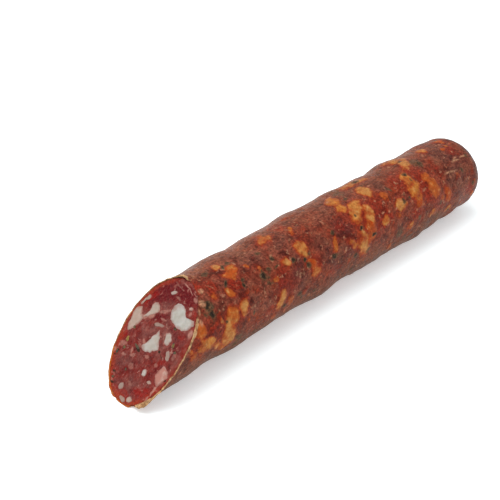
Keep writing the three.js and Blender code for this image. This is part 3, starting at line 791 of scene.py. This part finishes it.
FLECKS = [
    (-4.4, -6.9, 3.4, 1.8, -20, 1), (-3.7, 5.4, 1.4, 0.9, 0, 0.9), (8, 9.8, 2.4, 0.8, 5, 0.9),
    (11.2, 14.6, 0.9, 0.8, 0, 0.9), (-14.5, -13, 2, 1.2, 30, 0.9), (-15, -15, 1.5, 1, 0, 0.8),
    (-4.5, -16.5, 2.2, 1.5, 0, 0.6), (-9.5, -20.5, 2.4, 1.2, 30, 0.7), (-7.5, -24.5, 3, 1.1, 0, 0.9),
    (6.8, -1.8, 1.4, 1.2, 0, 0.9), (18.6, -8.8, 1.2, 0.8, 0, 0.9), (12.8, 3.6, 2.4, 2, 0, 0.6),
    (-13, -0.7, 1.6, 1.2, 0, 0.9), (-12, -11, 1.5, 1.5, 0, 0.5), (14.6, 2.2, 1.4, 1.1, 0, 0.8),
    (-7.6, 22.6, 3, 0.7, 40, 0.3), (-6, -20, 1.4, 3, 20, 0.4), (9.4, -3, 4, 0.7, -25, 0.5),
    (-13.6, 19.6, 2.4, 0.8, 50, 0.4),
]
SCARLET = [
    (10.5, -19.2, 12, 5, 28, 1), (15.5, -14, 5, 5, 40, 0.7), (-15.6, -3, 3.4, 12, -8, 0.9),
    (-13.4, 13, 3, 12, -28, 0.8), (11.5, -4.6, 8, 3, 40, 0.7), (13.6, 9, 3, 4, 0, 0.6),
    (-9, -22, 4, 8, 25, 0.8), (0, -25, 12, 3, 0, 0.7), (13.4, 19, 3, 3, 0, 0.9),
]


def on_cut(spots, wander, core=0.7, reach=1.2):
    """Mask of those patches on the face, with outlines that wander by that share."""
    return blot(spots, face_w + wander * shift_w, face_v + wander * shift_v, 2, core, reach)[0]


scarlet = on_cut(SCARLET, 1.4, 0.4, 1.4)
crimson = on_cut(CRIMSON, 1.4)
sinew = on_cut(SINEW, 0.5)
fleck = on_cut(FLECKS, 0.5)
pocket = np.zeros_like(face_w)
beside = np.zeros_like(face_w)
for corners, *_ in DICE.values():
    reach = inside_share(corners, face_w, face_v)
    pocket = np.maximum(pocket, ease(0.95, 0.8, reach))
    beside = np.maximum(beside, ease(1.35, 1.0, reach))
edge_gap = (1 - out) * np.linalg.norm(brink - centre, axis=-1)
# How rusty the meat is next to the casing, at turns in degrees.
RUST = np.array(((0, 0), (60, 0.2), (110, 0.5), (150, 0.9), (250, 0.9), (330, 0.8), (350, 0)))
rust = np.interp(np.degrees(face_turn), RUST[:, 0], RUST[:, 1], period=360)
rust = ease(3.2, 0.6, edge_gap + 1.2 * shift_w) * rust
fibre = soft_noise(flat * np.array([0.35, 1.2, 1]), 0.9, 75)
proud = 0.10 * soft_noise(flat, 2.2, 76) + 0.07 * fibre + 0.05 * soft_noise(flat, 0.7, 77)
proud = proud - 0.12 * fleck + 0.05 * sinew - 0.9 * pocket
proud = proud * ease(0, 0.8, edge_gap)
face = face + proud[..., None] * FACE_OUT
long_x = brink_x + np.linspace(0.02, 1, 10)[:, None] * (END - CORNER - brink_x)
long_sunk = WALL + (MEAT_GAP + DEEPER * ease(2, 20, long_x - brink_x))
long_side = side_point(long_x, face_turn, side_radius(long_x, face_turn) - long_sunk)
far_side = side_point(END - 4 + np.zeros((3, FACE_COLUMNS)), face_turn,
                      np.array([15.0, 7.0, 0.0])[:, None] + 0 * face_turn)
lean_points = np.concatenate((to_frame(*np.moveaxis(face, -1, 0)), to_frame(*long_side), to_frame(*far_side)))
hidden = len(lean_points) - FACE_ROWS


def with_hidden(values):
    """Face values, followed by zeros for the rows inside the casing."""
    return np.concatenate((values, np.zeros((hidden, FACE_COLUMNS))))


lean = grid_mesh("cured_lean", lean_points, {
    "crimson": with_hidden(crimson), "sinew": with_hidden(sinew), "fleck": with_hidden(fleck),
    "rust": with_hidden(rust), "beside": with_hidden(beside), "scarlet": with_hidden(scarlet),
})

meat, tree, shader = new_material("cut_lean_meat")
broad = noise(tree, 4.5, 3)
crumb = noise(tree, 1.6, 3, 0.6)
fibre = stranded(tree, 0.9, 0.6)
colour = lay(tree, between(tree, broad, 0.42, 0.58), srgb(110, 30, 24), srgb(108, 56, 50))
light, tone = flecked(tree, 0.9, 0.61, 0.2)
dark, _ = flecked(tree, 1.0, 0.62, 0.5)
leafy = times(tree, mask_of(tree, "fleck"), between(tree, crumb, 0.3, 0.55, 0.5, 1))
colour = layers(tree, colour, (
    (crumb, 0.5, 0.68, 0.5, srgb(134, 80, 72)),
    (crumb, 0.5, 0.34, 0.6, srgb(80, 18, 20)),
    (mask_of(tree, "crimson"), 0, 1, 0.94, srgb(90, 6, 14)),
    (mask_of(tree, "scarlet"), 0, 1, 0.9, srgb(128, 16, 8)),
    (mask_of(tree, "beside"), 0, 1, 0.35, srgb(124, 60, 54)),
    (mask_of(tree, "rust"), 0, 1, 0.85, srgb(146, 42, 14)),
    (fibre, 0.8, 1.0, 0.3, srgb(140, 76, 66)),
    (light, 0, 1, 0.6, lay(tree, tone, srgb(128, 52, 40), srgb(158, 112, 100))),
    (dark, 0, 1, 0.4, srgb(58, 16, 16)),
    (mask_of(tree, "sinew"), 0, 1, 0.85, srgb(166, 118, 104)),
    (leafy, 0.25, 0.6, 0.9, srgb(40, 30, 18)),
))
colour, speck = grained(tree, colour, 0.5, 0.22)
height = sums(tree, "ADD", times(tree, speck, 0.5), crumb)
height = sums(tree, "ADD", height, times(tree, fibre, 0.4))
finish_material(tree, shader, colour, between(tree, crumb, 0.3, 0.7, 0.3, 0.48), height, 0.4)
shader.inputs["Specular IOR Level"].default_value = 0.08

lean.data.materials.append(meat)
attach(lean, "root")
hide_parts("lean_filling")

# -------------------------------------------------------------------------------------------------
# Dice of fat
# Back fat, diced before it was mixed with the lean, and sliced flush with it by the knife. It is waxy and
# off-white in the middle, and pinker where it thins out against the meat that has stained it.
# -------------------------------------------------------------------------------------------------
fat_wax, tree, shader = new_material("back_fat")
pink = mask_of(tree, "pink")
cloud = noise(tree, 1.8, 3, 0.55)
colour = lay(tree, between(tree, cloud, 0.35, 0.65), srgb(160, 155, 145), srgb(170, 166, 160))
vein = between(tree, noise(tree, 1.3, 3, 0.6), 0.46, 0.6)
vein = times(tree, vein, between(tree, pink, 0.1, 0.8))
edge = sums(tree, "ADD", mask_of(tree, "edge"), between(tree, noise(tree, 1.2, 3, 0.6), 0.3, 0.7, -0.2, 0.2))
colour = layers(tree, colour, (
    (pink, 0.0, 0.5, 1, srgb(160, 132, 116)),
    (pink, 0.5, 1.0, 1, srgb(166, 106, 94)),
    (vein, 0, 1, 0.7, srgb(178, 150, 138)),
    (mask_of(tree, "dull"), 0, 1, 0.8, srgb(122, 98, 90)),
    (edge, 0.45, 1.05, 0.85, srgb(134, 74, 62)),
))
colour, speck = grained(tree, colour, 0.9, 0.05)
finish_material(tree, shader, colour, between(tree, speck, 0.3, 0.7, 0.34, 0.44), cloud, 0.08)
shader.inputs["Specular IOR Level"].default_value = 0.2
shader.inputs["Subsurface Weight"].default_value = 0.2
shader.inputs["Subsurface Radius"].default_value = (1.0, 0.5, 0.35)
shader.inputs["Subsurface Scale"].default_value = 1.2 * MM

# Rows of a die: shares of the way out from its middle, over the face, then into the meat and closed there.
DIE_ROWS = 14
share = np.linspace(0, 1, DIE_ROWS)
outward = np.concatenate((share, [0.97, 0.9, 0.6, 0.0]))[:, None]
upward = np.concatenate((0.10 - 0.16 * share**5, [-0.1, -0.1, -0.1, -0.1]))
for node, (corners, depth, pinkness, dullness) in DICE.items():
    loop = die_outline(corners)
    middle = loop.mean(axis=0)
    inward = np.concatenate((np.zeros(DIE_ROWS), [0.6, depth * 0.8, depth, depth]))
    fanned = middle + outward[..., None] * (loop - middle)
    over = np.concatenate((fanned, np.zeros((*fanned.shape[:2], 1))), axis=-1)
    rise = upward[:, None] + 0.05 * soft_noise(over, 1.5, 63) * (outward < 1)
    points = on_face(fanned[..., 0], fanned[..., 1]) + rise[..., None] * FACE_OUT
    points[..., 0] += inward[:, None]
    piece = grid_mesh("cured_" + node, to_frame(*np.moveaxis(points, -1, 0)), {
        "edge": outward**2 + 0 * rise, "pink": pinkness + 0 * rise, "dull": dullness + 0 * rise,
    })
    piece.data.materials.append(fat_wax)
    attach(piece, "root")
    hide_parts(node)

# -------------------------------------------------------------------------------------------------
# Cracked pepper
# Peppercorns cracked to a millimetre or two, dark brown outside and olive green within, pressed into
# the meat and laid bare by the knife.
# -------------------------------------------------------------------------------------------------
# Across and up the face, half length, half width, turn in the face, greenness.
GRAINS = (
    (-12.9, -6.4, 1.3, 1.0, 0.4, 0.9), (-13, -0.7, 0.8, 0.6, 1.2, 0.3), (-5.6, -6.2, 1.7, 0.6, 1.4, 0.2),
    (11.9, 4.1, 1.1, 0.7, 0.2, 0.8), (14.8, 2, 0.8, 0.6, 2.0, 0.2), (-12, -10, 0.9, 0.7, 1.0, 0.4),
    (-14.5, -13.4, 1.0, 0.6, 0.3, 0.2), (-4.4, -16.6, 0.7, 0.5, 0.8, 0.3), (-8.6, -22.6, 0.9, 0.5, 1.9, 0.2),
    (8, 9.6, 0.9, 0.4, 1.7, 0.2),
)
pepper, tree, shader = new_material("cracked_pepper")
husk = noise(tree, 0.8, 3, 0.6)
colour = lay(tree, mask_of(tree, "green"), srgb(34, 28, 20), srgb(134, 106, 34))
colour = lay(tree, between(tree, husk, 0.52, 0.38, 0, 0.95), colour, srgb(28, 22, 16))
colour, speck = grained(tree, colour, 0.4, 0.3)
finish_material(tree, shader, colour, between(tree, husk, 0.3, 0.7, 0.55, 0.75), husk, 0.3)

grain_turn = np.linspace(0, 2 * np.pi, 28, endpoint=False)[None, :]
grain_tip = np.linspace(0, np.pi, 16)[:, None]
ball = np.stack(np.broadcast_arrays(np.sin(grain_tip) * np.cos(grain_turn),
                                    np.sin(grain_tip) * np.sin(grain_turn), np.cos(grain_tip)), axis=-1)
for count, (across, upward, long, short, spin, green) in enumerate(GRAINS, start=1):
    rough = 1 + 0.28 * soft_noise(ball + 10 * count, 0.7, 81)
    along_w = ball[..., 0] * short * math.cos(spin) - ball[..., 1] * long * math.sin(spin)
    along_v = ball[..., 0] * short * math.sin(spin) + ball[..., 1] * long * math.cos(spin)
    points = on_face(across + along_w * rough, upward + along_v * rough)
    rise = 0.30 * ball[..., 2] * rough - 0.12
    points = points + rise[..., None] * FACE_OUT
    greenness = {"green": green + 0 * rough}
    piece = grid_mesh(f"cured_pepper_{count}", to_frame(*np.moveaxis(points, -1, 0)), greenness)
    piece.data.materials.append(pepper)
    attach(piece, "root")
    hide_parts(f"pepper_grain_{count}")

# -------------------------------------------------------------------------------------------------
# Studio
# A white table under soft light, the strongest of it from above and behind, and the camera.
# -------------------------------------------------------------------------------------------------
TABLE = 3.0  # half the table's width in metres
corners = [(-TABLE, -TABLE, 0), (TABLE, -TABLE, 0), (TABLE, TABLE, 0), (-TABLE, TABLE, 0)]
floor_mesh = bpy.data.meshes.new("table")
floor_mesh.from_pydata(corners, [], [(0, 1, 2, 3)])
floor = bpy.data.objects.new("table", floor_mesh)
bpy.context.collection.objects.link(floor)
white, tree, shader = new_material("white_table")
shader.inputs["Base Color"].default_value = (0.85, 0.93, 0.95, 1)
shader.inputs["Roughness"].default_value = 0.9
shader.inputs["Specular IOR Level"].default_value = 0.0
shader.inputs["Emission Color"].default_value = (1, 1, 1, 1)
shader.inputs["Emission Strength"].default_value = 0.36
floor.data.materials.append(white)

world = bpy.data.worlds.new("studio")
bpy.context.scene.world = world
world.use_nodes = True
world.node_tree.nodes["Background"].inputs["Color"].default_value = (1, 1, 1, 1)
world.node_tree.nodes["Background"].inputs["Strength"].default_value = 0.76


def softbox(name, place, size, power):
    """A square lamp of that size and place in metres and power in watts, aimed at the sausage's middle."""
    lamp = bpy.data.lights.new(name, "AREA")
    lamp.size = size
    lamp.energy = power
    holder = bpy.data.objects.new(name, lamp)
    holder.location = place
    aim = np.array([0, 0, 0.02]) - np.array(place)
    yaw = math.atan2(aim[1], aim[0]) - math.pi / 2
    pitch = math.atan2(aim[2], math.hypot(aim[0], aim[1])) + math.pi / 2
    holder.rotation_euler = (pitch, 0, yaw)
    bpy.context.collection.objects.link(holder)


softbox("key", (-0.15, 0.19, 0.82), 0.75, 5.7)

CAMERA_YAW = math.radians(44.66)  # from +X towards +Y
CAMERA_DOWN = math.radians(32.0)
CAMERA_AWAY = 0.497
LOOKED_AT = to_frame(-18.66, 20.09, 19.2)
camera_data = bpy.data.cameras.new("camera")
camera_data.lens = 75.0
camera = bpy.data.objects.new("camera", camera_data)
camera.rotation_euler = (math.pi / 2 - CAMERA_DOWN, 0, CAMERA_YAW - math.pi / 2)
level = math.cos(CAMERA_DOWN)
looking = np.array([math.cos(CAMERA_YAW) * level, math.sin(CAMERA_YAW) * level, -math.sin(CAMERA_DOWN)])
camera.location = LOOKED_AT - CAMERA_AWAY * looking
bpy.context.collection.objects.link(camera)
bpy.context.scene.camera = camera
bpy.context.scene.view_settings.view_transform = "Standard"
